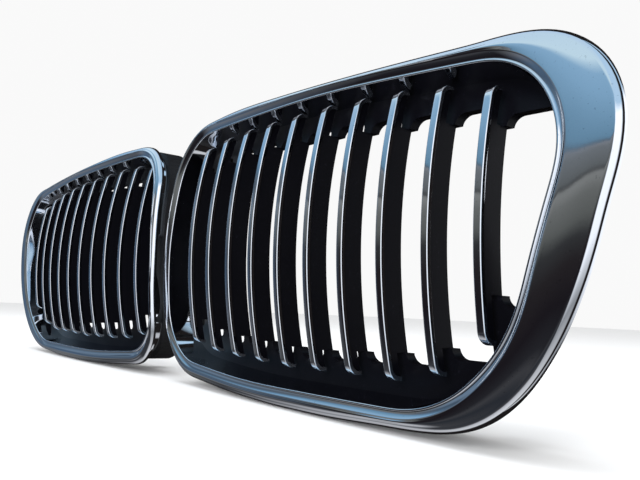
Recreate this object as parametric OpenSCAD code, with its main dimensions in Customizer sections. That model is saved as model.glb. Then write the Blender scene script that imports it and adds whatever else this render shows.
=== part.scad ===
// Twin front grille for a car: two mirrored bright surrounds with vertical slats.
// Millimetres. +X is across the car, the grille faces -Y, +Z is up. Origin at the centre of the bounding box.

/* [Slats] */
// Distance between neighbouring slats
slat_pitch = 20; // [16:0.5:24]
// Distance from the centre plane to the first slat
first_slat_x = 33; // [30:0.5:36]
// Width of a slat's bright cap
cap_w = 3; // [2:0.1:4]
// Wall of the cap
cap_t = 1.6; // [1:0.1:2.4]
// Radius where a slat end turns to the rear
tip_r = 5; // [3.5:0.1:7]
// Thickness of a slat blade
blade_w = 2.2; // [1.6:0.1:2.8]
// How far a blade reaches behind the front surface
blade_depth = 10; // [9.5:0.1:11]
// How far the ends of a slat reach behind the front surface
tip_reach = 4.9; // [4:0.1:5]

/* [Front surface] */
// Radius of the vertical bow of the front
bow_r = 191; // [180:1:240]
// Radius of the bow across the car
plan_r = 1130; // [1000:10:3000]
// Where the bow across the car comes furthest forward
plan_x = 132; // [120:1:160]

/* [Surround] */
// Radius of the vertical bow of the surround's face
ring_bow_r = 272; // [240:1:320]
// How far the surround's face stands in front of the slats at mid height
ring_proud = 4; // [3:0.1:4.5]
// Thickness of the surround's face
face_t = 1.8; // [1.5:0.1:2.2]
// Depth of the surround's rolled outer edge behind its face
rim_depth = 3; // [2.5:0.1:4]
// Width of the bevel beside the lip
bevel_w = 3; // [2:0.1:4]
// Depth of the bevel behind the face
bevel_t = 2; // [1:0.1:2.5]
// Wall of the surround
ring_wall = 2; // [1.6:0.1:3]
// Depth of the surround's inner wall behind the front surface
ring_depth = 12; // [11:0.1:14]
// How far the inner wall slopes in between the lip and the carrier frame
slope_in = 2.5; // [1:0.1:2.5]

/* [Carrier frame] */
// Front of the carrier frame behind the front surface
frame_front = 8; // [7:0.1:9]
// Width of the webs beside each slat
web_w = 4.4; // [3.6:0.1:6]
// Corner radius of a window
window_r = 3.5; // [2:0.1:5]
// Least width of the frame round its edge
frame_edge = 5; // [4:0.5:8]

/* [Rear shell] */
// Rear face of the shell behind the foremost slat
shell_rear_y = 32; // [31:0.5:40]
// Wall of the shell
shell_wall = 2.5; // [2:0.1:3.5]
// Front end of the shell's wall behind the front surface
shell_front = 3; // [3:0.1:5]
// Thickness of the shell's front flange
flange_t = 2.5; // [2:0.1:3.5]
// How far the flange reaches inside the lip
flange_in = 2; // [1:0.1:3]

/* [Fixings] */
// Radius of a locating peg
peg_r = 3; // [2:0.1:4]
// Length of a locating peg
peg_len = 12; // [8:0.5:16]
// Radius of the boss that carries a peg
boss_r = 5; // [4:0.1:7]
// Width of a latch tongue
latch_w = 14; // [10:0.5:20]
// Thickness of a latch tongue
latch_t = 2.5; // [2:0.1:3.5]
// Length of a latch tongue behind the shell
latch_len = 10; // [8:0.5:12]
// Height of the latch barb
barb_h = 2; // [1.2:0.1:3]

/* [Hidden] */
slat_count = 10;
// Upper and lower slat ends, from the centre plane outwards
slat_top = [51, 53, 53.5, 53, 52.5, 52, 50.5, 49, 46.5, 42];
slat_bottom = [-48, -51, -52, -52.5, -53, -52.5, -52, -52, -48.5, -37.5];
// Upper and lower window ends, from the centre plane outwards
window_top = [42, 44, 45, 45, 45, 44, 43, 41, 39, 37, 33];
window_bottom = [-40, -44, -46, -47, -48, -48, -48, -47, -46, -43, -26];
// Sides of the first and the last window
window_first_x = 18;
window_last_x = 234;
// Corners of the outlines: across, up, corner radius
rim_corners = [
    [7, -6, 145], [9.5, -62.5, 26], [108, -71, 1000], [217.5, -64.5, 50],
    [246.5, -27, 100], [265.5, 52.5, 32], [61, 63, 400], [11, 60, 28]
];
lip_corners = [
    [12, -0.5, 89], [12, -55.5, 26], [87, -60.5, 620], [197.5, -60, 53],
    [225, -35, 50], [248.5, 45.5, 30], [138, 54, 850], [19.5, 56.5, 26]
];
// Peg places on one half: across, up
peg_places = [[27, 49], [203, -50]];
// Latch places on one half: across, up, side the barb faces
latch_places = [[70, 55.9, 1], [180, 51.2, 1], [60, -59.2, -1], [150, -60.7, -1]];
// Shift that brings the bounding box centre to the origin
mid_y = 22;
mid_z = -3.03;
// Degrees in one step of a rounded corner
arc_step = 7.5;
// Longest chord along a rounded corner
arc_chord = 12;
// Spare length that lets one shape cut cleanly through another
spare = 30;
// Length that clears the widest outline
reach = 300;
// Straight land behind the lip before the inner wall slopes in
lip_land = 0.6;
// Share by which the fan of a slat's side view passes the bow
fan = 1.2;
// Overlap that joins two shapes of one piece or lets one cut cleanly through another
overlap = 1;
// How far a latch tongue runs into the shell
latch_root = 6;
// Start of the barb behind the shell
barb_start = 3;

function slat_x(i) = first_slat_x + (i - 1) * slat_pitch;
function plan_sag(x) = plan_r - sqrt(plan_r * plan_r - (x - plan_x) * (x - plan_x));
function bow_y(z, depth) = bow_r - sqrt((bow_r - depth) * (bow_r - depth) - z * z);
function bowed_y(x, z, radius, depth) =
    plan_r - sqrt(pow(plan_r - radius + sqrt(pow(radius - depth, 2) - z * z), 2) - pow(x - plan_x, 2));
function unit(v) = v / norm(v);
function flat(p) = [p[0], p[1]];
function turn(a, b) = acos(max(-1, min(1, a * b)));

// Points along one rounded corner p between its neighbours a and b, moved outwards by grow
function corner_points(a, p, b, r, grow) =
    let (u = unit(flat(a) - flat(p)), v = unit(flat(b) - flat(p)))
    let (half = turn(u, v) / 2, mid = flat(p) + unit(u + v) * r / sin(half))
    let (from = unit(flat(p) + u * r / tan(half) - mid), to = unit(flat(p) + v * r / tan(half) - mid))
    let (sweep = turn(from, to), steps = max(1, ceil(sweep / arc_step), ceil(sweep * PI / 180 * r / arc_chord)))
    [for (k = [0 : steps]) mid + (r + grow)
        * (from * sin(sweep * (1 - k / steps)) + to * sin(sweep * k / steps)) / sin(sweep)];

// Closed path round a list of rounded corners
function outline(c, grow) = [
    for (i = [0 : len(c) - 1])
        for (q = corner_points(c[(i + len(c) - 1) % len(c)], c[i], c[(i + 1) % len(c)], c[i][2], grow)) q
];

// Upright column with the plan of an outline seen from the front
module column(corners, grow) {
    translate([0, shell_rear_y, 0])
        rotate([90, 0, 0])
            linear_extrude(height = shell_rear_y + spare)
                polygon(outline(corners, grow));
}

// Bowed layer of a vertical bow radius, between two depths
module bowed_layer(radius, front, back) {
    translate([plan_x, plan_r, 0])
        rotate_extrude($fn = 360)
            intersection() {
                translate([plan_r - radius, 0])
                    difference() {
                        circle(r = radius - front, $fn = 360);
                        circle(r = radius - back, $fn = 360);
                    }
                translate([plan_r - radius / 2, -radius / 2])
                    square([radius, radius]);
            }
}

// Layer between two depths behind the slats' front surface
module slat_layer(front, back) {
    bowed_layer(bow_r, front, back);
}

// Layer between two depths behind the surround's face
module face_layer(front, back) {
    bowed_layer(ring_bow_r, front - ring_proud, back - ring_proud);
}

// Opening through the surround, straight in front of the lip and sloping in behind it
module opening() {
    near = outline(lip_corners, 0);
    far = outline(lip_corners, -slope_in);
    n = len(near);
    lip = [for (p = near) [p[0], bowed_y(p[0], p[1], ring_bow_r, bevel_t + lip_land - ring_proud), p[1]]];
    seat = [for (p = far) [p[0], bowed_y(p[0], p[1], bow_r, frame_front + overlap), p[1]]];
    polyhedron(
        points = concat(
            [for (p = near) [p[0], -spare, p[1]]], lip, seat, [for (p = far) [p[0], 2 * spare, p[1]]]
        ),
        faces = concat(
            [[for (i = [n - 1 : -1 : 0]) i]],
            [for (row = [0 : 2], i = [0 : n - 1]) [row * n + i, row * n + (i + 1) % n, (row + 1) * n + (i + 1) % n]],
            [for (row = [0 : 2], i = [0 : n - 1]) [row * n + i, (row + 1) * n + (i + 1) % n, (row + 1) * n + i]],
            [[for (i = [3 * n : 4 * n - 1]) i]]
        )
    );
}

// Everything behind a depth, forward of the shell's rear face
module behind(depth) {
    difference() {
        translate([-spare, -spare, -bow_r / 2])
            cube([reach + 2 * spare, shell_rear_y + spare, bow_r]);
        translate([plan_x, plan_r, 0])
            rotate_extrude($fn = 360)
                difference() {
                    translate([plan_r - bow_r / 2, -bow_r])
                        square([2 * bow_r, 2 * bow_r]);
                    translate([plan_r - bow_r, 0])
                        circle(r = bow_r - depth, $fn = 360);
                }
    }
}

// Side view of slat i: x is depth, y is height, inset by t from its front
module slat_side(i, t) {
    top_z = slat_top[i - 1] - tip_r;
    low_z = slat_bottom[i - 1] + tip_r;
    top_y = bow_y(top_z, tip_r);
    low_y = bow_y(low_z, tip_r);
    top_way = unit([top_y - bow_r, top_z]) * bow_r * fan;
    low_way = unit([low_y - bow_r, low_z]) * bow_r * fan;
    intersection() {
        translate([bow_r, 0])
            circle(r = bow_r - t, $fn = 360);
        translate([bow_r, 0])
            polygon([[0, 0], top_way, low_way]);
    }
    translate([top_y, top_z])
        circle(r = tip_r - t, $fn = 60);
    translate([low_y, low_z])
        circle(r = tip_r - t, $fn = 60);
    translate([top_y, 0])
        square([spare, slat_top[i - 1] - t]);
    translate([low_y, slat_bottom[i - 1] + t])
        square([spare, -slat_bottom[i - 1] - t]);
}

// Side view strip from the front surface back to a depth, between two heights
module depth_band(depth, low, high) {
    difference() {
        translate([-spare, low])
            square([3 * spare, high - low]);
        translate([bow_r, 0])
            circle(r = bow_r - depth, $fn = 360);
    }
}

// Upright plate of a width, standing at slat i
module slat_plate(i, width) {
    translate([slat_x(i) - width / 2, plan_sag(slat_x(i)), 0])
        rotate([90, 0, 90])
            linear_extrude(height = width)
                children();
}

// Bright cap over the front edge of slat i
module slat_cap(i) {
    color([0.82, 0.85, 0.88])
        slat_plate(i, cap_w)
            intersection() {
                difference() {
                    slat_side(i, 0);
                    slat_side(i, cap_t);
                }
                depth_band(tip_reach, -bow_r / 2, bow_r / 2);
            }
}

// Black blade of slat i
module slat_blade(i) {
    web_top = min(window_top[i - 1], window_top[i]) - window_r;
    web_low = max(window_bottom[i - 1], window_bottom[i]) + window_r;
    color([0.03, 0.03, 0.04])
        slat_plate(i, blade_w)
            intersection() {
                slat_side(i, cap_t);
                union() {
                    depth_band(tip_reach, -bow_r / 2, bow_r / 2);
                    depth_band(blade_depth, web_low, web_top);
                }
            }
}

// One window between two slats, seen from the front
module window(left, right, low, high) {
    translate([left + window_r, low])
        square([right - left - 2 * window_r, high - low]);
    translate([left, low + window_r])
        square([right - left, high - low - 2 * window_r]);
    for (x = [left + window_r, right - window_r])
        for (z = [low + window_r, high - window_r])
            translate([x, z])
                circle(r = window_r, $fn = 48);
}

// Black frame with a window for every gap, carrying the slats
module carrier_frame() {
    color([0.04, 0.04, 0.05])
        intersection() {
            translate([0, shell_rear_y, 0])
                rotate([90, 0, 0])
                    linear_extrude(height = shell_rear_y + spare)
                        difference() {
                            polygon(outline(lip_corners, 0));
                            intersection() {
                                polygon(outline(lip_corners, -frame_edge));
                                union()
                                    for (j = [0 : slat_count]) {
                                        left = j == 0 ? window_first_x : slat_x(j) + web_w / 2;
                                        right = j == slat_count ? window_last_x : slat_x(j + 1) - web_w / 2;
                                        window(left, right, window_bottom[j], window_top[j]);
                                    }
                            }
                            for (i = [1 : slat_count]) {
                                low = max(window_bottom[i - 1], window_bottom[i]) + window_r;
                                high = min(window_top[i - 1], window_top[i]) - window_r;
                                translate([slat_x(i) - web_w, low])
                                    square([2 * web_w, high - low]);
                            }
                        }
            slat_layer(frame_front, ring_depth);
        }
}

// Bright surround: face with a rolled outer edge, bevel, lip and sloping inner wall
module surround_ring() {
    color([0.85, 0.87, 0.9])
        difference() {
            union() {
                intersection() {
                    column(rim_corners, 0);
                    face_layer(0, rim_depth);
                }
                intersection() {
                    column(lip_corners, bevel_w + ring_wall);
                    face_layer(0, bevel_t + ring_wall);
                    column(rim_corners, 0);
                }
                intersection() {
                    column(lip_corners, ring_wall);
                    face_layer(0, spare);
                    slat_layer(-spare, ring_depth);
                }
            }
            opening();
            intersection() {
                column(lip_corners, 0);
                slat_layer(frame_front, spare);
            }
            intersection() {
                column(lip_corners, bevel_w);
                face_layer(-overlap, bevel_t);
            }
            intersection() {
                difference() {
                    column(rim_corners, -ring_wall);
                    column(lip_corners, bevel_w + ring_wall);
                }
                face_layer(face_t, rim_depth + overlap);
            }
        }
}

// Black rear shell: collar round the surround's inner wall, flange, rear wall, pegs and latches
module rear_shell() {
    color([0.05, 0.05, 0.06])
        union() {
            difference() {
                union() {
                    intersection() {
                        column(lip_corners, ring_wall + shell_wall);
                        slat_layer(shell_front, ring_depth + flange_t);
                    }
                    intersection() {
                        column(lip_corners, shell_wall - flange_in);
                        behind(ring_depth + flange_t / 2);
                    }
                }
                intersection() {
                    column(lip_corners, ring_wall);
                    slat_layer(shell_front - overlap, ring_depth);
                }
                column(lip_corners, -flange_in);
            }
            for (p = peg_places)
                translate([p[0], 0, p[1]]) {
                    intersection() {
                        translate([0, shell_rear_y, 0])
                            rotate([90, 0, 0])
                                cylinder(r = boss_r, h = shell_rear_y, $fn = 60);
                        translate([-p[0], 0, -p[1]])
                            behind(ring_depth + flange_t / 2);
                    }
                    translate([0, shell_rear_y + peg_len, 0])
                        rotate([90, 0, 0])
                            cylinder(r = peg_r, h = peg_len + overlap, $fn = 60);
                }
            for (l = latch_places)
                latch(l[0], l[1], l[2]);
        }
}

// Snap tongue behind the shell's wall, with a wedge barb on its outer face
module latch(x, z, side) {
    root_y = shell_rear_y - latch_root;
    barb_y = shell_rear_y + barb_start;
    end_y = shell_rear_y + latch_len;
    translate([x - latch_w / 2, 0, z])
        rotate([90, 0, 90])
            linear_extrude(height = latch_w)
                polygon([
                    [root_y, -side * latch_t], [root_y, 0], [barb_y, 0],
                    [barb_y, side * barb_h], [end_y, 0], [end_y, -side * latch_t]
                ]);
}

// One half moved to the part's origin, on side 1 or mirrored on side -1
module half(side) {
    translate([0, -mid_y, -mid_z])
        mirror([side < 0 ? 1 : 0, 0, 0])
            children();
}

half(1) surround_ring();  // surround_ring_right
half(1) carrier_frame();  // carrier_frame_right
half(1) rear_shell();  // rear_shell_right
half(1) slat_blade(1);  // slat_blade_right_01
half(1) slat_blade(2);  // slat_blade_right_02
half(1) slat_blade(3);  // slat_blade_right_03
half(1) slat_blade(4);  // slat_blade_right_04
half(1) slat_blade(5);  // slat_blade_right_05
half(1) slat_blade(6);  // slat_blade_right_06
half(1) slat_blade(7);  // slat_blade_right_07
half(1) slat_blade(8);  // slat_blade_right_08
half(1) slat_blade(9);  // slat_blade_right_09
half(1) slat_blade(10);  // slat_blade_right_10
half(1) slat_cap(1);  // slat_cap_right_01
half(1) slat_cap(2);  // slat_cap_right_02
half(1) slat_cap(3);  // slat_cap_right_03
half(1) slat_cap(4);  // slat_cap_right_04
half(1) slat_cap(5);  // slat_cap_right_05
half(1) slat_cap(6);  // slat_cap_right_06
half(1) slat_cap(7);  // slat_cap_right_07
half(1) slat_cap(8);  // slat_cap_right_08
half(1) slat_cap(9);  // slat_cap_right_09
half(1) slat_cap(10);  // slat_cap_right_10
half(-1) surround_ring();  // surround_ring_left
half(-1) carrier_frame();  // carrier_frame_left
half(-1) rear_shell();  // rear_shell_left
half(-1) slat_blade(1);  // slat_blade_left_01
half(-1) slat_blade(2);  // slat_blade_left_02
half(-1) slat_blade(3);  // slat_blade_left_03
half(-1) slat_blade(4);  // slat_blade_left_04
half(-1) slat_blade(5);  // slat_blade_left_05
half(-1) slat_blade(6);  // slat_blade_left_06
half(-1) slat_blade(7);  // slat_blade_left_07
half(-1) slat_blade(8);  // slat_blade_left_08
half(-1) slat_blade(9);  // slat_blade_left_09
half(-1) slat_blade(10);  // slat_blade_left_10
half(-1) slat_cap(1);  // slat_cap_left_01
half(-1) slat_cap(2);  // slat_cap_left_02
half(-1) slat_cap(3);  // slat_cap_left_03
half(-1) slat_cap(4);  // slat_cap_left_04
half(-1) slat_cap(5);  // slat_cap_left_05
half(-1) slat_cap(6);  // slat_cap_left_06
half(-1) slat_cap(7);  // slat_cap_left_07
half(-1) slat_cap(8);  // slat_cap_left_08
half(-1) slat_cap(9);  // slat_cap_left_09
half(-1) slat_cap(10);  // slat_cap_left_10
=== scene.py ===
import math

import bmesh
import bpy
from bpy.props import FloatProperty, FloatVectorProperty, IntProperty, PointerProperty
from mathutils import Matrix, Vector


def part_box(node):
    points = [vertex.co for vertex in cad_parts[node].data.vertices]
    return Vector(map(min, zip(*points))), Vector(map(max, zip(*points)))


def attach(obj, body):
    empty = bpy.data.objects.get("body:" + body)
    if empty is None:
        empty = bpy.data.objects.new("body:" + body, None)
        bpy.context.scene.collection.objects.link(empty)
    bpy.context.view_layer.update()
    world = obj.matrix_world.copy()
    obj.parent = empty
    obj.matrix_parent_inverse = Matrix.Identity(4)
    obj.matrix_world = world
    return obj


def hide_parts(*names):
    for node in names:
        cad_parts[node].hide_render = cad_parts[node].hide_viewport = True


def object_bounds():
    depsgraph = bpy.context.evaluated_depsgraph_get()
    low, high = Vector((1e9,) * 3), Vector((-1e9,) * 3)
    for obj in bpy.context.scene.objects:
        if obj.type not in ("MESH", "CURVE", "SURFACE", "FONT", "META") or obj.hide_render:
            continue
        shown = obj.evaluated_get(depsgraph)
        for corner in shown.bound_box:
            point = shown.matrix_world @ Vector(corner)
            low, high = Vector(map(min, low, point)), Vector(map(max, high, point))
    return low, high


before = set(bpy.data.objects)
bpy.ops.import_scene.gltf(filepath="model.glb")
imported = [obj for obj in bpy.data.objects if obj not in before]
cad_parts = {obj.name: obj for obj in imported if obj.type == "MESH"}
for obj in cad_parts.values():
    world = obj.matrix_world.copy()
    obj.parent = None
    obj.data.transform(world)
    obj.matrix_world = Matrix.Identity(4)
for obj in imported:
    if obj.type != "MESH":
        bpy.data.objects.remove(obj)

bl_info = {
    "name": "Twin Front Grille",
    "version": (1, 0, 0),
    "blender": (4, 5, 0),
    "location": "View3D > Sidebar > Grille",
    "description": "Builds the bright surrounds, slats, frames and shells of a twin front grille",
    "category": "Add Mesh",
}

CAD_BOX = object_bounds()
SIDES = {"right": 1.0, "left": -1.0}
SLATS = 10
MM = 0.001

# How finely the round parts are drawn
CORNER_STEP = 2.5
EDGE_STEPS = 10
CROWN_STEPS = 14
BEAD_STEPS = 8
CAP_EDGE_STEPS = 6
TIP_STEPS = 12
BOW_STEPS = 60

# Corners of the two outlines of the right half, seen from the front, in millimetres:
# across, up, corner radius.
RIM_CORNERS = [
    (7, -6, 145), (9.5, -62.5, 26), (108, -71, 1000), (217.5, -64.5, 50),
    (246.5, -27, 100), (265.5, 52.5, 32), (61, 63, 400), (11, 60, 28),
]
LIP_CORNERS = [
    (12, -0.5, 89), (12, -55.5, 26), (87, -60.5, 620), (197.5, -60, 53),
    (225, -35, 50), (248.5, 45.5, 30), (138, 54, 850), (19.5, 56.5, 26),
]


# ---------------------------------------------------------------- sizes and colours

class GrilleSizes(bpy.types.PropertyGroup):
    """Sizes that shape the grille's front and walls."""

    bow_radius: FloatProperty(
        name="Bow radius", description="Radius of the vertical bow of the slats",
        default=0.191, unit="LENGTH", subtype="DISTANCE")
    face_bow_radius: FloatProperty(
        name="Face bow radius", description="Radius of the vertical bow of the surround's face",
        default=0.272, unit="LENGTH", subtype="DISTANCE")
    plan_radius: FloatProperty(
        name="Plan radius", description="Radius of the bow across the car",
        default=1.13, unit="LENGTH", subtype="DISTANCE")
    plan_centre: FloatProperty(
        name="Plan centre", description="Where the bow across the car comes furthest forward",
        default=0.132, unit="LENGTH", subtype="DISTANCE")
    face_height: FloatProperty(
        name="Face height", description="How far the surround's face stands in front of the slats",
        default=0.004, unit="LENGTH", subtype="DISTANCE")
    face_crown: FloatProperty(
        name="Face crown", description="Rise of the surround's face between its edges",
        default=0.0003, unit="LENGTH", subtype="DISTANCE")
    edge_radius: FloatProperty(
        name="Edge radius", description="Radius of the rolled outer edge",
        default=0.0022, unit="LENGTH", subtype="DISTANCE")
    edge_depth: FloatProperty(
        name="Edge depth", description="Depth of the rolled outer edge behind the face",
        default=0.003, unit="LENGTH", subtype="DISTANCE")
    face_thickness: FloatProperty(
        name="Face thickness", description="Thickness of the surround's face",
        default=0.0018, unit="LENGTH", subtype="DISTANCE")
    bevel_width: FloatProperty(
        name="Bevel width", description="Width of the slope beside the lip",
        default=0.003, unit="LENGTH", subtype="DISTANCE")
    bevel_depth: FloatProperty(
        name="Bevel depth", description="Depth of the slope beside the lip",
        default=0.002, unit="LENGTH", subtype="DISTANCE")
    seat_depth: FloatProperty(
        name="Seat depth", description="Where the carrier frame sits behind the slats' front",
        default=0.008, unit="LENGTH", subtype="DISTANCE")
    wall_depth: FloatProperty(
        name="Wall depth", description="Rear end of the inner wall behind the slats' front",
        default=0.012, unit="LENGTH", subtype="DISTANCE")
    slope_in: FloatProperty(
        name="Slope in", description="How far the inner wall slopes in from the lip to the frame",
        default=0.0025, unit="LENGTH", subtype="DISTANCE")
    wall: FloatProperty(
        name="Wall", description="Thickness of the surround's walls",
        default=0.002, unit="LENGTH", subtype="DISTANCE")
    tip_radius: FloatProperty(
        name="Tip radius", description="Radius where a slat end turns to the rear",
        default=0.005, unit="LENGTH", subtype="DISTANCE")
    cap_thickness: FloatProperty(
        name="Cap thickness", description="Wall of a slat's bright cap",
        default=0.0016, unit="LENGTH", subtype="DISTANCE")
    cap_edge: FloatProperty(
        name="Cap edge", description="Radius of a cap's long edges",
        default=0.0005, unit="LENGTH", subtype="DISTANCE")
    cap_reach: FloatProperty(
        name="Cap reach", description="How far a cap's ends reach behind the front surface",
        default=0.0049, unit="LENGTH", subtype="DISTANCE")
    outline_points: IntProperty(
        name="Outline points", description="Points round each outline", default=384, min=96)


class GrilleColours(bpy.types.PropertyGroup):
    """Colours of the grille's three finishes and its stage."""

    plating: FloatVectorProperty(
        name="Plating", description="Bright plating", subtype="COLOR", size=3,
        default=(0.80, 0.83, 0.87))
    gloss_black: FloatVectorProperty(
        name="Gloss black", description="Smooth black plastic of the slats and frames",
        subtype="COLOR", size=3, default=(0.0025, 0.0025, 0.004))
    grained_black: FloatVectorProperty(
        name="Grained black", description="Grained black plastic of the rear shells",
        subtype="COLOR", size=3, default=(0.008, 0.008, 0.009))
    floor: FloatVectorProperty(
        name="Floor", description="Pale studio floor", subtype="COLOR", size=3,
        default=(0.86, 0.86, 0.86))


def sizes():
    """The grille's sizes."""
    return bpy.context.scene.grille_sizes


def colours():
    """The grille's colours."""
    return bpy.context.scene.grille_colours


# ---------------------------------------------------------------- the front surface

def plan_sag(across):
    """How far the bow across the car falls back at a place across."""
    s = sizes()
    return s.plan_radius - math.sqrt(s.plan_radius ** 2 - (across - s.plan_centre) ** 2)


def front_line():
    """Where the foremost line of the front surface lies, read from a middle slat's cap."""
    low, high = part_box("slat_cap_right_06")
    return low[1] - plan_sag((low[0] + high[0]) / 2)


def setback(across, up, depth, radius):
    """How far behind the front line the layer at a depth behind a bowed surface lies.

    up is counted from the middle of the vertical bow.
    """
    s = sizes()
    reach = s.plan_radius - radius + math.sqrt((radius - depth) ** 2 - up ** 2)
    return s.plan_radius - math.sqrt(reach ** 2 - (across - s.plan_centre) ** 2)


def bow_middle():
    """Height of the middle of the vertical bows, read from the surround's lowest point."""
    low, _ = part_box("surround_ring_right")
    return low[2] - min(point.y for point in rounded_path(RIM_CORNERS))


# ---------------------------------------------------------------- outlines

# Rounds of softening for the two outlines and for the width between them
LIP_EASING = 12
RIM_EASING = 8
WIDTH_EASING = 20


def rounded_path(corners):
    """Points of a polygon with rounded corners, in metres."""
    path = []
    count = len(corners)
    for i, (x, z, radius) in enumerate(corners):
        here = Vector((x, z))
        before = (Vector(corners[i - 1][:2]) - here).normalized()
        after = (Vector(corners[(i + 1) % count][:2]) - here).normalized()
        half = before.angle(after) / 2
        centre = here + (before + after).normalized() * radius / math.sin(half)
        start = here + before * radius / math.tan(half) - centre
        end = here + after * radius / math.tan(half) - centre
        sweep = start.angle(end)
        steps = max(4, math.ceil(sweep / math.radians(CORNER_STEP)))
        for k in range(steps + 1):
            share = k / steps
            turned = (start * math.sin(sweep * (1 - share)) + end * math.sin(sweep * share))
            path.append((centre + turned / math.sin(sweep)) * MM)
    return path


def evenly(path, count):
    """A closed path resampled to evenly spaced points."""
    closed = path + [path[0]]
    lengths = [0.0]
    for a, b in zip(closed, closed[1:]):
        lengths.append(lengths[-1] + (b - a).length)
    points = []
    k = 0
    for i in range(count):
        want = lengths[-1] * i / count
        while lengths[k + 1] < want:
            k += 1
        share = (want - lengths[k]) / max(lengths[k + 1] - lengths[k], 1e-9)
        points.append(closed[k].lerp(closed[k + 1], share))
    return points


def eased(points, rounds):
    """A closed path, or the widths round it, with its changes softened."""
    for _ in range(rounds):
        count = len(points)
        points = [
            points[i] * 0.5 + (points[i - 1] + points[(i + 1) % count]) * 0.25 for i in range(count)
        ]
    return points


def lip_path():
    """Points of the lip and their outward directions."""
    points = eased(evenly(rounded_path(LIP_CORNERS), sizes().outline_points), LIP_EASING)
    count = len(points)
    outward = []
    for i in range(count):
        along = (points[(i + 1) % count] - points[i - 1]).normalized()
        outward.append(Vector((along.y, -along.x)))
    return points, outward


def face_widths(points, outward):
    """How far each lip point is from the rim, along its outward direction."""
    rim = eased(evenly(rounded_path(RIM_CORNERS), sizes().outline_points), RIM_EASING)
    widths = []
    for point, way in zip(points, outward):
        best = None
        for a, b in zip(rim, rim[1:] + rim[:1]):
            side = b - a
            cross = way.x * side.y - way.y * side.x
            if cross == 0.0:
                continue
            gap = a - point
            reach = (gap.x * side.y - gap.y * side.x) / cross
            share = (gap.x * way.y - gap.y * way.x) / cross
            if reach > 0 and -1e-6 <= share <= 1 + 1e-6 and (best is None or reach < best):
                best = reach
        if best is None:
            raise RuntimeError("the rim doesn't enclose the lip")
        widths.append(best)
    return eased(widths, WIDTH_EASING)


# ---------------------------------------------------------------- meshes

def new_piece(name, bm, material, nodes, smooth_angle=40.0):
    """Turns a bmesh into a piece that rides on the frame and stands for its CAD nodes."""
    bmesh.ops.recalc_face_normals(bm, faces=bm.faces)
    mesh = bpy.data.meshes.new(name)
    bm.to_mesh(mesh)
    bm.free()
    mesh.shade_smooth()
    mesh.set_sharp_from_angle(angle=math.radians(smooth_angle))
    piece = bpy.data.objects.new(name, mesh)
    bpy.context.scene.collection.objects.link(piece)
    mesh.materials.append(material)
    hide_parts(*nodes)
    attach(piece, "root")
    return piece


def sweep_closed(bm, rings):
    """Skins rings of points, each joined to the next and the last to the first."""
    rows = [[bm.verts.new(p) for p in ring] for ring in rings]
    count = len(rows[0])
    for a, b in zip(rows, rows[1:] + rows[:1]):
        for i in range(count):
            j = (i + 1) % count
            bm.faces.new((a[i], a[j], b[j], b[i]))


def sweep_open(bm, rings):
    """Skins rings of points end to end and closes both ends."""
    rows = [[bm.verts.new(p) for p in ring] for ring in rings]
    count = len(rows[0])
    for a, b in zip(rows, rows[1:]):
        for i in range(count):
            j = (i + 1) % count
            bm.faces.new((a[i], a[j], b[j], b[i]))
    bm.faces.new(rows[0])
    bm.faces.new(list(reversed(rows[-1])))


def arc(centre, radius, start, end, steps):
    """Points on an arc as (first, second) pairs, angles in degrees."""
    points = []
    for k in range(steps + 1):
        angle = math.radians(start + (end - start) * k / steps)
        points.append((centre[0] + radius * math.cos(angle), centre[1] + radius * math.sin(angle)))
    return points


# ---------------------------------------------------------------- materials

def group_node(tree, group, **values):
    """A node group placed in a tree, with its own values."""
    node = tree.nodes.new("ShaderNodeGroup")
    node.node_tree = group
    for name, value in values.items():
        node.inputs[name.replace("_", " ")].default_value = value
    return node


def new_group(name, inputs, outputs):
    """A shader node group with float inputs and outputs, and its two end nodes."""
    group = bpy.data.node_groups.new(name, "ShaderNodeTree")
    for label, value in inputs.items():
        socket = group.interface.new_socket(name=label, in_out="INPUT", socket_type="NodeSocketFloat")
        socket.default_value = value
    for label in outputs:
        group.interface.new_socket(name=label, in_out="OUTPUT", socket_type="NodeSocketFloat")
    return group, group.nodes.new("NodeGroupInput"), group.nodes.new("NodeGroupOutput")


def noise(tree, scale, detail, roughness):
    """A noise texture."""
    node = tree.nodes.new("ShaderNodeTexNoise")
    node.inputs["Scale"].default_value = scale
    node.inputs["Detail"].default_value = detail
    node.inputs["Roughness"].default_value = roughness
    return node


def spread(tree, low, high, to_low, to_high):
    """Maps a range of values to another one."""
    node = tree.nodes.new("ShaderNodeMapRange")
    node.inputs["From Min"].default_value = low
    node.inputs["From Max"].default_value = high
    node.inputs["To Min"].default_value = to_low
    node.inputs["To Max"].default_value = to_high
    return node


def handling_marks():
    """Faint smears and dust left by handling: a smear mask and a speck mask, both 0 to 1."""
    if "handling marks" in bpy.data.node_groups:
        return bpy.data.node_groups["handling marks"]
    group, start, end = new_group(
        "handling marks", {"Smear Scale": 18.0, "Speck Scale": 900.0}, ("Smear", "Speck"))
    place = group.nodes.new("ShaderNodeTexCoord")
    smear = noise(group, 18.0, 5.0, 0.6)
    speck = noise(group, 900.0, 1.0, 0.4)
    smear_range = spread(group, 0.42, 0.72, 0.0, 1.0)
    speck_range = spread(group, 0.70, 0.78, 0.0, 1.0)
    link = group.links.new
    link(start.outputs["Smear Scale"], smear.inputs["Scale"])
    link(start.outputs["Speck Scale"], speck.inputs["Scale"])
    link(place.outputs["Object"], smear.inputs["Vector"])
    link(place.outputs["Object"], speck.inputs["Vector"])
    link(smear.outputs["Fac"], smear_range.inputs["Value"])
    link(speck.outputs["Fac"], speck_range.inputs["Value"])
    link(smear_range.outputs["Result"], end.inputs["Smear"])
    link(speck_range.outputs["Result"], end.inputs["Speck"])
    return group


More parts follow.
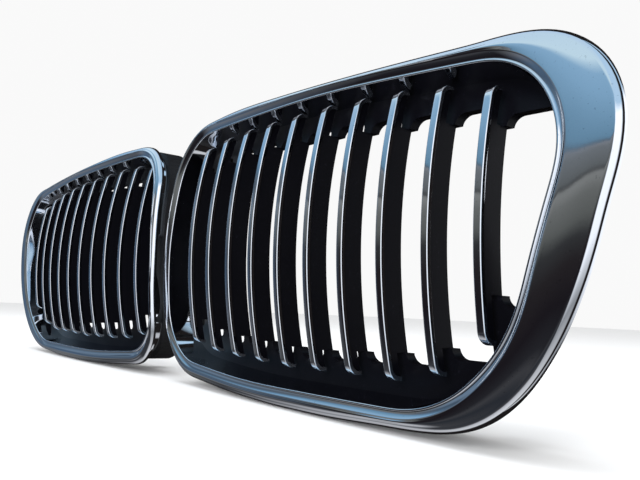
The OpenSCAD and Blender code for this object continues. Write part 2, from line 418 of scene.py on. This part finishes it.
def moulded_skin():
    """Height of a moulded surface: slow waviness and fine grain, added up."""
    if "moulded skin" in bpy.data.node_groups:
        return bpy.data.node_groups["moulded skin"]
    group, start, end = new_group(
        "moulded skin",
        {"Wave Scale": 40.0, "Grain Scale": 1400.0, "Grain Share": 0.2}, ("Height",))
    place = group.nodes.new("ShaderNodeTexCoord")
    wave = noise(group, 40.0, 1.0, 0.4)
    grain = noise(group, 1400.0, 2.0, 0.5)
    share = group.nodes.new("ShaderNodeMath")
    share.operation = "MULTIPLY"
    total = group.nodes.new("ShaderNodeMath")
    total.operation = "ADD"
    link = group.links.new
    link(place.outputs["Object"], wave.inputs["Vector"])
    link(place.outputs["Object"], grain.inputs["Vector"])
    link(start.outputs["Wave Scale"], wave.inputs["Scale"])
    link(start.outputs["Grain Scale"], grain.inputs["Scale"])
    link(grain.outputs["Fac"], share.inputs[0])
    link(start.outputs["Grain Share"], share.inputs[1])
    link(wave.outputs["Fac"], total.inputs[0])
    link(share.outputs["Value"], total.inputs[1])
    link(total.outputs["Value"], end.inputs["Height"])
    return group


def finish(name, colour, worn_by, roughness, metallic, specular, skin, marks, bump):
    """A finish with smears, specks and a moulded skin.

    worn_by is how much lighter or darker a speck is, roughness is (clean, smeared), skin and marks
    are the values of the two groups, and bump is (strength, distance).
    """
    if name in bpy.data.materials:
        return bpy.data.materials[name]
    material = bpy.data.materials.new(name)
    material.use_nodes = True
    tree = material.node_tree
    shader = tree.nodes["Principled BSDF"]
    shader.inputs["Metallic"].default_value = metallic
    shader.inputs["Specular IOR Level"].default_value = specular
    mark_node = group_node(tree, handling_marks(), **marks)
    skin_node = group_node(tree, moulded_skin(), **skin)
    blend = tree.nodes.new("ShaderNodeMix")
    blend.data_type = "RGBA"
    blend.inputs["A"].default_value = (*colour, 1.0)
    blend.inputs["B"].default_value = (*(share * worn_by for share in colour), 1.0)
    rough = spread(tree, 0.0, 1.0, *roughness)
    height = tree.nodes.new("ShaderNodeBump")
    height.inputs["Strength"].default_value = bump[0]
    height.inputs["Distance"].default_value = bump[1]
    link = tree.links.new
    link(mark_node.outputs["Speck"], blend.inputs["Factor"])
    link(blend.outputs["Result"], shader.inputs["Base Color"])
    link(mark_node.outputs["Smear"], rough.inputs["Value"])
    link(rough.outputs["Result"], shader.inputs["Roughness"])
    link(skin_node.outputs["Height"], height.inputs["Height"])
    link(height.outputs["Normal"], shader.inputs["Normal"])
    return material


def bright_plating():
    """Mirror-bright plating of the surrounds and slat caps."""
    return finish(
        "bright plating", colours().plating, worn_by=0.8, roughness=(0.03, 0.07),
        metallic=1.0, specular=0.5,
        skin={"Wave_Scale": 60.0, "Grain_Scale": 900.0, "Grain_Share": 0.03},
        marks={"Smear_Scale": 14.0, "Speck_Scale": 1300.0}, bump=(0.25, 0.00025))


def gloss_black():
    """Smooth black plastic of the slat blades and carrier frames."""
    return finish(
        "gloss black", colours().gloss_black, worn_by=3.0, roughness=(0.30, 0.42),
        metallic=0.0, specular=0.10,
        skin={"Wave_Scale": 45.0, "Grain_Scale": 1500.0, "Grain_Share": 0.12},
        marks={"Smear_Scale": 22.0, "Speck_Scale": 1100.0}, bump=(0.3, 0.0003))


def grained_black():
    """Grained black plastic of the rear shells."""
    return finish(
        "grained black", colours().grained_black, worn_by=2.2, roughness=(0.46, 0.62),
        metallic=0.0, specular=0.25,
        skin={"Wave_Scale": 30.0, "Grain_Scale": 1100.0, "Grain_Share": 1.2},
        marks={"Smear_Scale": 20.0, "Speck_Scale": 800.0}, bump=(0.5, 0.00035))


# ---------------------------------------------------------------- surround rings

# Small roundings of the surround's cross-section
BEVEL_CORNER = 0.0006
BEAD_RADIUS = 0.00055
BEAD_RISE = 0.0003
BEAD_TOE = 0.0001
LEDGE_DROP = 0.00005
ROOT_GAP = 0.0002
ROOT_RISE = 0.001


def face_profile(width):
    """Cross-section of the surround where its face is a given width.

    Each row is how far outwards from the lip, how deep, and whether the depth is behind the
    surround's face (True) or behind the slats' front (False).
    """
    s = sizes()
    edge = s.edge_radius
    top = s.bevel_width + BEVEL_CORNER
    floor = s.bevel_depth - BEAD_RISE
    across = BEAD_RADIUS * 2
    under = s.bevel_depth + s.wall
    root = min(s.bevel_width + s.wall, width - s.wall - ROOT_GAP)
    front = [(width, s.edge_depth)]
    front += arc((width - edge, edge), edge, 0.0, -90.0, EDGE_STEPS)
    for k in range(1, CROWN_STEPS):
        share = k / CROWN_STEPS
        rise = s.face_crown * math.sin(math.pi * share)
        front.append((width - edge + (top - width + edge) * share, -rise))
    front += [(top, 0.0), (top - BEVEL_CORNER / 2, BEVEL_CORNER / 10)]
    front += [(s.bevel_width, BEVEL_CORNER / 2)]
    front += [(across + BEAD_RISE, floor - BEAD_TOE * 2), (across, floor - BEAD_TOE)]
    front += arc((BEAD_RADIUS, floor), BEAD_RADIUS, 0.0, -180.0, BEAD_STEPS)[1:]
    front += [(0.0, s.bevel_depth + BEAD_RISE)]
    lining = [(-s.slope_in, s.seat_depth), (0.0, s.seat_depth + LEDGE_DROP)]
    lining += [(0.0, s.wall_depth), (s.wall, s.wall_depth)]
    back = [(s.wall, under), (root, under - ROOT_RISE)]
    back += [(root, s.face_thickness), (width - s.wall, s.face_thickness)]
    back += [(width - s.wall, s.edge_depth)]
    parts = ((front, True), (lining, False), (back, True))
    return [(out, depth, on_face) for rows, on_face in parts for out, depth in rows]


class GRILLE_OT_surrounds(bpy.types.Operator):
    """Build both bright surrounds: face, rolled edge, bevel, lip and sloping inner wall"""

    bl_idname = "grille.surrounds"
    bl_label = "Surround rings"

    def execute(self, context):
        s = sizes()
        points, outward = lip_path()
        widths = face_widths(points, outward)
        front = front_line()
        middle = bow_middle()
        for side, sign in SIDES.items():
            rings = []
            for point, way, width in zip(points, outward, widths):
                ring = []
                for out, depth, on_face in face_profile(width):
                    place = point + way * out
                    if on_face:
                        back = setback(place.x, place.y, depth - s.face_height, s.face_bow_radius)
                    else:
                        back = setback(place.x, place.y, depth, s.bow_radius)
                    ring.append((sign * place.x, front + back, place.y + middle))
                rings.append(ring)
            bm = bmesh.new()
            sweep_closed(bm, rings)
            node = f"surround_ring_{side}"
            new_piece(f"surround_{side}", bm, bright_plating(), [node], 50.0)
        return {"FINISHED"}


# ---------------------------------------------------------------- slats

def cap_path(top, low, inset, reach):
    """Side view of a cap's surface at an inset, from its upper end to its lower one, as (y, z)."""
    s = sizes()
    radius = s.tip_radius
    points = []
    for end, sign in ((top, 1.0), (low, -1.0)):
        centre_z = sign * (abs(end) - radius)
        centre_y = s.bow_radius - math.sqrt((s.bow_radius - radius) ** 2 - centre_z ** 2)
        lean = math.degrees(math.atan2(abs(centre_z), s.bow_radius - centre_y))
        rear = s.bow_radius - math.sqrt((s.bow_radius - reach) ** 2 - end ** 2)
        turn = [(max(rear, centre_y), end - sign * inset)]
        turn += arc((centre_y, centre_z), radius - inset, sign * 90.0, sign * (180.0 - lean), TIP_STEPS)
        if sign > 0:
            points += turn
            upper = lean
        else:
            bow = arc((s.bow_radius, 0.0), s.bow_radius - inset, 180.0 - upper, 180.0 + lean, BOW_STEPS)
            points += bow[1:-1] + list(reversed(turn))
    return points


def cap_rings(box):
    """Rings of points across a cap, along its side view."""
    s = sizes()
    low, high = box
    half = (high[0] - low[0]) / 2
    middle = (high[0] + low[0]) / 2
    front = front_line() + plan_sag(abs(middle))
    rise = bow_middle()
    top, bottom = high[2] - rise, low[2] - rise
    edge = s.cap_edge
    section = [(-half, s.cap_thickness)]
    section += arc((-half + edge, edge), edge, 180.0, 270.0, CAP_EDGE_STEPS)
    section += [(-half / 4, 0.0), (half / 4, 0.0)]
    section += arc((half - edge, edge), edge, 270.0, 360.0, CAP_EDGE_STEPS)
    section += [(half, s.cap_thickness)]
    lines = [cap_path(top, bottom, max(inset, 0.0), s.cap_reach) for _, inset in section]
    rings = []
    for k in range(len(lines[0])):
        rings.append([
            (middle + across, front + line[k][0], line[k][1] + rise)
            for (across, _), line in zip(section, lines)
        ])
    return rings


class GRILLE_OT_slat_caps(bpy.types.Operator):
    """Build the bright cap of every slat, with rounded edges and ends turned to the rear"""

    bl_idname = "grille.slat_caps"
    bl_label = "Slat caps"

    def execute(self, context):
        for side in SIDES:
            for i in range(1, SLATS + 1):
                node = f"slat_cap_{side}_{i:02d}"
                bm = bmesh.new()
                sweep_open(bm, cap_rings(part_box(node)))
                new_piece(f"cap_{side}_{i:02d}", bm, bright_plating(), [node], 60.0)
        return {"FINISHED"}


class GRILLE_OT_slat_blades(bpy.types.Operator):
    """Finish the black blade of every slat"""

    bl_idname = "grille.slat_blades"
    bl_label = "Slat blades"

    def execute(self, context):
        for side in SIDES:
            for i in range(1, SLATS + 1):
                dress(f"slat_blade_{side}_{i:02d}", gloss_black())
        return {"FINISHED"}


def dress(node, material):
    """Gives a carried-over CAD node a finish."""
    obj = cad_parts[node]
    for material_slot in obj.material_slots:
        material_slot.material = material


# ---------------------------------------------------------------- frames and shells

class GRILLE_OT_carrier_frames(bpy.types.Operator):
    """Finish both carrier frames"""

    bl_idname = "grille.carrier_frames"
    bl_label = "Carrier frames"

    def execute(self, context):
        for side in SIDES:
            dress(f"carrier_frame_{side}", gloss_black())
        return {"FINISHED"}


class GRILLE_OT_rear_shells(bpy.types.Operator):
    """Finish both rear shells"""

    bl_idname = "grille.rear_shells"
    bl_label = "Rear shells"

    def execute(self, context):
        for side in SIDES:
            dress(f"rear_shell_{side}", grained_black())
        return {"FINISHED"}


# ---------------------------------------------------------------- stage

FLOOR_SIZE = 4.0
FLOOR_GAP = 0.0005
CAMERA_PLACE = (0.3449, -0.1817, -0.0260)
# Camera's turn about the upright, its tilt above level and its roll, in degrees
CAMERA_TURN = (51.71, 5.69, 2.53)
CAMERA_LENS = 39.26
BACKDROP = (0.95, 0.95, 0.95)


def add_floor():
    """A pale floor just under the grille."""
    low, _ = CAD_BOX
    bm = bmesh.new()
    bmesh.ops.create_grid(bm, x_segments=8, y_segments=8, size=FLOOR_SIZE)
    mesh = bpy.data.meshes.new("floor")
    bm.to_mesh(mesh)
    bm.free()
    floor = bpy.data.objects.new("floor", mesh)
    floor.location = (0.0, 0.0, low[2] - FLOOR_GAP)
    bpy.context.scene.collection.objects.link(floor)
    material = bpy.data.materials.new("floor")
    material.use_nodes = True
    shader = material.node_tree.nodes["Principled BSDF"]
    shader.inputs["Base Color"].default_value = (*colours().floor, 1.0)
    shader.inputs["Roughness"].default_value = 0.9
    mesh.materials.append(material)
    floor.visible_glossy = False


def add_card(name, place, target, width, height, power, colour):
    """A soft rectangular light that faces a target and isn't mirrored."""
    light = bpy.data.lights.new(name, "AREA")
    light.shape = "RECTANGLE"
    light.size = width
    light.size_y = height
    light.energy = power
    light.color = colour
    lamp = bpy.data.objects.new(name, light)
    lamp.location = place
    lamp.rotation_euler = (Vector(target) - Vector(place)).to_track_quat("-Z", "Y").to_euler()
    lamp.visible_camera = False
    lamp.visible_glossy = False
    bpy.context.scene.collection.objects.link(lamp)


def colour_ramp(tree, stops):
    """A colour ramp with rising stops, from a direction straight down, -1, to straight up, 1."""
    node = tree.nodes.new("ShaderNodeValToRGB")
    elements = node.color_ramp.elements
    for height, _ in stops[1:-1]:
        elements.new((height + 1) / 2)
    for element, (_, colour) in zip(elements, stops):
        element.color = (*colour, 1.0)
    return node


# Colours of the surroundings by height of the direction, in linear light.
FRONT_SKY = [
    (-1.00, (0.75, 0.75, 0.77)), (-0.86, (0.55, 0.55, 0.58)), (-0.76, (0.060, 0.060, 0.065)),
    (-0.54, (0.025, 0.028, 0.035)), (-0.44, (0.050, 0.050, 0.055)), (-0.36, (0.020, 0.020, 0.024)),
    (-0.20, (0.012, 0.010, 0.013)), (-0.05, (0.020, 0.017, 0.019)), (0.04, (0.035, 0.036, 0.038)),
    (0.10, (0.110, 0.115, 0.110)), (0.17, (0.150, 0.155, 0.150)), (0.225, (0.240, 0.245, 0.240)),
    (0.236, (0.040, 0.042, 0.046)), (0.25, (0.120, 0.130, 0.135)), (0.32, (0.170, 0.185, 0.200)),
    (0.326, (0.340, 0.350, 0.380)), (0.332, (0.060, 0.070, 0.090)), (0.345, (0.140, 0.270, 0.390)),
    (0.50, (0.240, 0.420, 0.600)), (0.58, (0.270, 0.460, 0.650)), (0.64, (0.620, 0.800, 0.900)),
    (1.00, (0.550, 0.720, 0.900)),
]
SIDE_SKY = [
    (-1.00, (0.70, 0.70, 0.72)), (-0.62, (0.40, 0.40, 0.42)), (-0.45, (0.040, 0.042, 0.048)),
    (-0.32, (0.140, 0.145, 0.150)), (-0.20, (0.160, 0.175, 0.205)), (-0.05, (0.080, 0.130, 0.200)),
    (0.06, (0.070, 0.110, 0.170)), (0.15, (0.100, 0.150, 0.210)), (0.24, (0.160, 0.230, 0.320)),
    (0.29, (0.060, 0.090, 0.130)), (0.34, (0.090, 0.150, 0.220)), (0.40, (0.220, 0.400, 0.600)),
    (0.52, (0.420, 0.600, 0.800)), (0.62, (0.700, 0.880, 1.000)), (1.00, (0.550, 0.720, 0.950)),
]
LIGHT_WALL = [
    (-1.00, (0.70, 0.70, 0.72)), (-0.60, (0.30, 0.31, 0.33)), (-0.45, (0.60, 0.62, 0.66)),
    (-0.25, (1.10, 1.13, 1.20)), (0.45, (1.30, 1.33, 1.40)), (0.55, (0.50, 0.70, 0.90)),
    (1.00, (0.50, 0.70, 0.90)),
]
DARK_REAR = (0.014, 0.012, 0.012)
# Where one part of the surroundings gives way to the next, by a level direction's x or y
SIDE_EDGE = (-0.75, -0.93)
REAR_EDGE = (0.02, 0.30)
WALL_NEAR_EDGE = (0.25, 0.40)
WALL_FAR_EDGE = (0.62, 0.68)


def add_sky():
    """Surroundings: a pale backdrop, and for reflections a sky, a dark horizon and a light wall."""
    world = bpy.data.worlds.new("studio")
    bpy.context.scene.world = world
    world.use_nodes = True
    tree = world.node_tree
    tree.nodes.clear()
    link = tree.links.new
    place = tree.nodes.new("ShaderNodeTexCoord")
    parts = tree.nodes.new("ShaderNodeSeparateXYZ")
    flat = tree.nodes.new("ShaderNodeCombineXYZ")
    level = tree.nodes.new("ShaderNodeVectorMath")
    level.operation = "NORMALIZE"
    across = tree.nodes.new("ShaderNodeSeparateXYZ")
    height = spread(tree, -1.0, 1.0, 0.0, 1.0)
    to_side = spread(tree, *SIDE_EDGE, 0.0, 1.0)
    to_rear = spread(tree, *REAR_EDGE, 0.0, 1.0)
    to_wall = spread(tree, *WALL_NEAR_EDGE, 0.0, 1.0)
    short_of_end = spread(tree, *WALL_FAR_EDGE, 1.0, 0.0)
    forward = spread(tree, *REAR_EDGE, 1.0, 0.0)
    open_side = tree.nodes.new("ShaderNodeMath")
    open_side.operation = "MAXIMUM"
    wall_share = tree.nodes.new("ShaderNodeMath")
    wall_share.operation = "MULTIPLY"
    front, side, wall = (colour_ramp(tree, stops) for stops in (FRONT_SKY, SIDE_SKY, LIGHT_WALL))
    with_side = tree.nodes.new("ShaderNodeMix")
    with_rear = tree.nodes.new("ShaderNodeMix")
    with_wall = tree.nodes.new("ShaderNodeMix")
    with_side.data_type = with_rear.data_type = with_wall.data_type = "RGBA"
    with_rear.inputs["B"].default_value = (*DARK_REAR, 1.0)
    link(place.outputs["Generated"], parts.inputs["Vector"])
    link(parts.outputs["X"], flat.inputs["X"])
    link(parts.outputs["Y"], flat.inputs["Y"])
    link(flat.outputs["Vector"], level.inputs[0])
    link(level.outputs["Vector"], across.inputs["Vector"])
    link(across.outputs["X"], to_side.inputs["Value"])
    link(across.outputs["Y"], to_rear.inputs["Value"])
    link(across.outputs["X"], to_wall.inputs["Value"])
    link(across.outputs["X"], short_of_end.inputs["Value"])
    link(across.outputs["Y"], forward.inputs["Value"])
    link(short_of_end.outputs["Result"], open_side.inputs[0])
    link(forward.outputs["Result"], open_side.inputs[1])
    link(to_wall.outputs["Result"], wall_share.inputs[0])
    link(open_side.outputs["Value"], wall_share.inputs[1])
    link(parts.outputs["Z"], height.inputs["Value"])
    for ramp in (front, side, wall):
        link(height.outputs["Result"], ramp.inputs["Fac"])
    link(to_side.outputs["Result"], with_side.inputs["Factor"])
    link(front.outputs["Color"], with_side.inputs["A"])
    link(side.outputs["Color"], with_side.inputs["B"])
    link(wall_share.outputs["Value"], with_wall.inputs["Factor"])
    link(to_rear.outputs["Result"], with_rear.inputs["Factor"])
    link(with_side.outputs["Result"], with_rear.inputs["A"])
    link(with_rear.outputs["Result"], with_wall.inputs["A"])
    link(wall.outputs["Color"], with_wall.inputs["B"])
    seen = tree.nodes.new("ShaderNodeBackground")
    seen.inputs["Color"].default_value = (*BACKDROP, 1.0)
    mirrored = tree.nodes.new("ShaderNodeBackground")
    path = tree.nodes.new("ShaderNodeLightPath")
    pick = tree.nodes.new("ShaderNodeMixShader")
    out = tree.nodes.new("ShaderNodeOutputWorld")
    link(with_wall.outputs["Result"], mirrored.inputs["Color"])
    link(path.outputs["Is Glossy Ray"], pick.inputs["Fac"])
    link(seen.outputs["Background"], pick.inputs[1])
    link(mirrored.outputs["Background"], pick.inputs[2])
    link(pick.outputs["Shader"], out.inputs["Surface"])


def add_camera():
    """The camera stands low beside the right half and looks across to the left one."""
    data = bpy.data.cameras.new("camera")
    data.sensor_width = 36.0
    data.lens = CAMERA_LENS
    data.clip_start = 0.01
    camera = bpy.data.objects.new("camera", data)
    turn, tilt, roll = (math.radians(angle) for angle in CAMERA_TURN)
    aim = (
        Matrix.Rotation(turn, 4, "Z")
        @ Matrix.Rotation(math.pi / 2 + tilt, 4, "X")
        @ Matrix.Rotation(roll, 4, "Z")
    )
    camera.matrix_world = Matrix.Translation(CAMERA_PLACE) @ aim
    bpy.context.scene.collection.objects.link(camera)
    bpy.context.scene.camera = camera


class GRILLE_OT_stage(bpy.types.Operator):
    """Set the pale floor, the soft lights and the camera"""

    bl_idname = "grille.stage"
    bl_label = "Stage"

    def execute(self, context):
        add_floor()
        add_sky()
        add_camera()
        add_card("key", (0.55, -1.1, 0.25), (0.1, 0.0, 0.0), 0.5, 0.9, 16.0, (1.0, 1.0, 1.0))
        add_card("top", (0.0, -0.2, 1.2), (0.0, 0.0, 0.0), 1.4, 0.8, 12.0, (0.92, 0.96, 1.0))
        context.scene.view_settings.view_transform = "Standard"
        return {"FINISHED"}


# ---------------------------------------------------------------- panel and registration

class GRILLE_PT_panel(bpy.types.Panel):
    """Lists the steps that build the grille."""

    bl_idname = "GRILLE_PT_panel"
    bl_label = "Front grille"
    bl_space_type = "VIEW_3D"
    bl_region_type = "UI"
    bl_category = "Grille"

    def draw(self, context):
        column = self.layout.column(align=True)
        for step in STEPS:
            column.operator(step.bl_idname)


STEPS = (
    GRILLE_OT_surrounds,
    GRILLE_OT_slat_caps,
    GRILLE_OT_slat_blades,
    GRILLE_OT_carrier_frames,
    GRILLE_OT_rear_shells,
    GRILLE_OT_stage,
)
CLASSES = (GrilleSizes, GrilleColours, *STEPS, GRILLE_PT_panel)


def register():
    for cls in CLASSES:
        bpy.utils.register_class(cls)
    bpy.types.Scene.grille_sizes = PointerProperty(type=GrilleSizes)
    bpy.types.Scene.grille_colours = PointerProperty(type=GrilleColours)


def unregister():
    del bpy.types.Scene.grille_colours
    del bpy.types.Scene.grille_sizes
    for cls in reversed(CLASSES):
        bpy.utils.unregister_class(cls)


def main():
    register()
    for step in STEPS:
        group, name = step.bl_idname.split(".")
        getattr(getattr(bpy.ops, group), name)()


if __name__ == "__main__":
    main()
